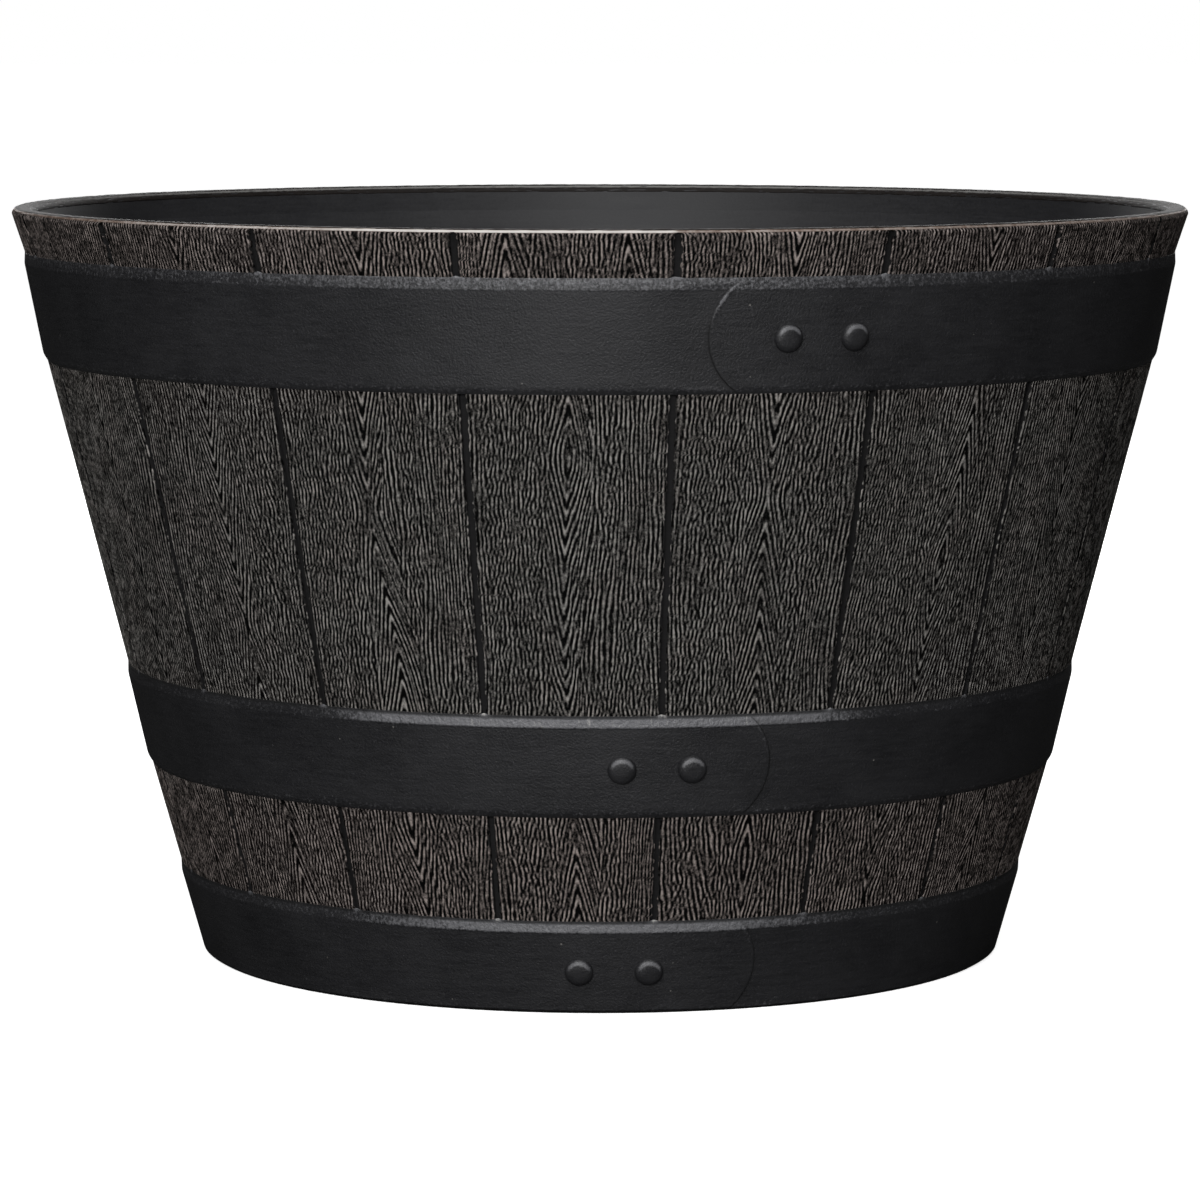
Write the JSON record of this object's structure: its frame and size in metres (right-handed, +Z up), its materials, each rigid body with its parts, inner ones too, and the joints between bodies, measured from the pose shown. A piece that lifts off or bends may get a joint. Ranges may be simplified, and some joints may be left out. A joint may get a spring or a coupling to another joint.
{
  "type": "barrel planter",
  "caption": "Round resin planter moulded as a staved half barrel, with riveted strap hoops, a rounded rim and lift-out drain plugs.",
  "frame": {"origin": "on the ground, at the middle of the round foot", "axes": "+Z up along the axis of the tub, -Y towards the front, where the straps lap and are riveted, +X to the right seen from the front"},
  "size_m": [0.52, 0.52, 0.332],
  "materials": {
    "resin_staves": "wood-grained high-density resin, near black with dry-brushed taupe grain",
    "strap_resin": "satin charcoal, faintly stippled",
    "rivet_resin": "satin charcoal",
    "plug_rubber": "matt black rubber"
  },
  "bodies": {
    "tub": {"tub_shell": "resin_staves", "lower_hoop": "strap_resin", "middle_hoop": "strap_resin", "upper_hoop": "strap_resin", "lower_hoop_rivets": "rivet_resin", "middle_hoop_rivets": "rivet_resin", "upper_hoop_rivets": "rivet_resin"},
    "plug_1": {"drain_plug_1": "plug_rubber"},
    "plug_2": {"drain_plug_2": "plug_rubber"},
    "plug_3": {"drain_plug_3": "plug_rubber"},
    "plug_4": {"drain_plug_4": "plug_rubber"}
  },
  "joints": [
    {"name": "plug_1_pull", "type": "slide", "parent": "tub", "child": "plug_1", "axis": [0, 0, 1], "range_m": [0, 0.345]},
    {"name": "plug_2_pull", "type": "slide", "parent": "tub", "child": "plug_2", "axis": [0, 0, 1], "range_m": [0, 0.345]},
    {"name": "plug_3_pull", "type": "slide", "parent": "tub", "child": "plug_3", "axis": [0, 0, 1], "range_m": [0, 0.345]},
    {"name": "plug_4_pull", "type": "slide", "parent": "tub", "child": "plug_4", "axis": [0, 0, 1], "range_m": [0, 0.345]}
  ]
}
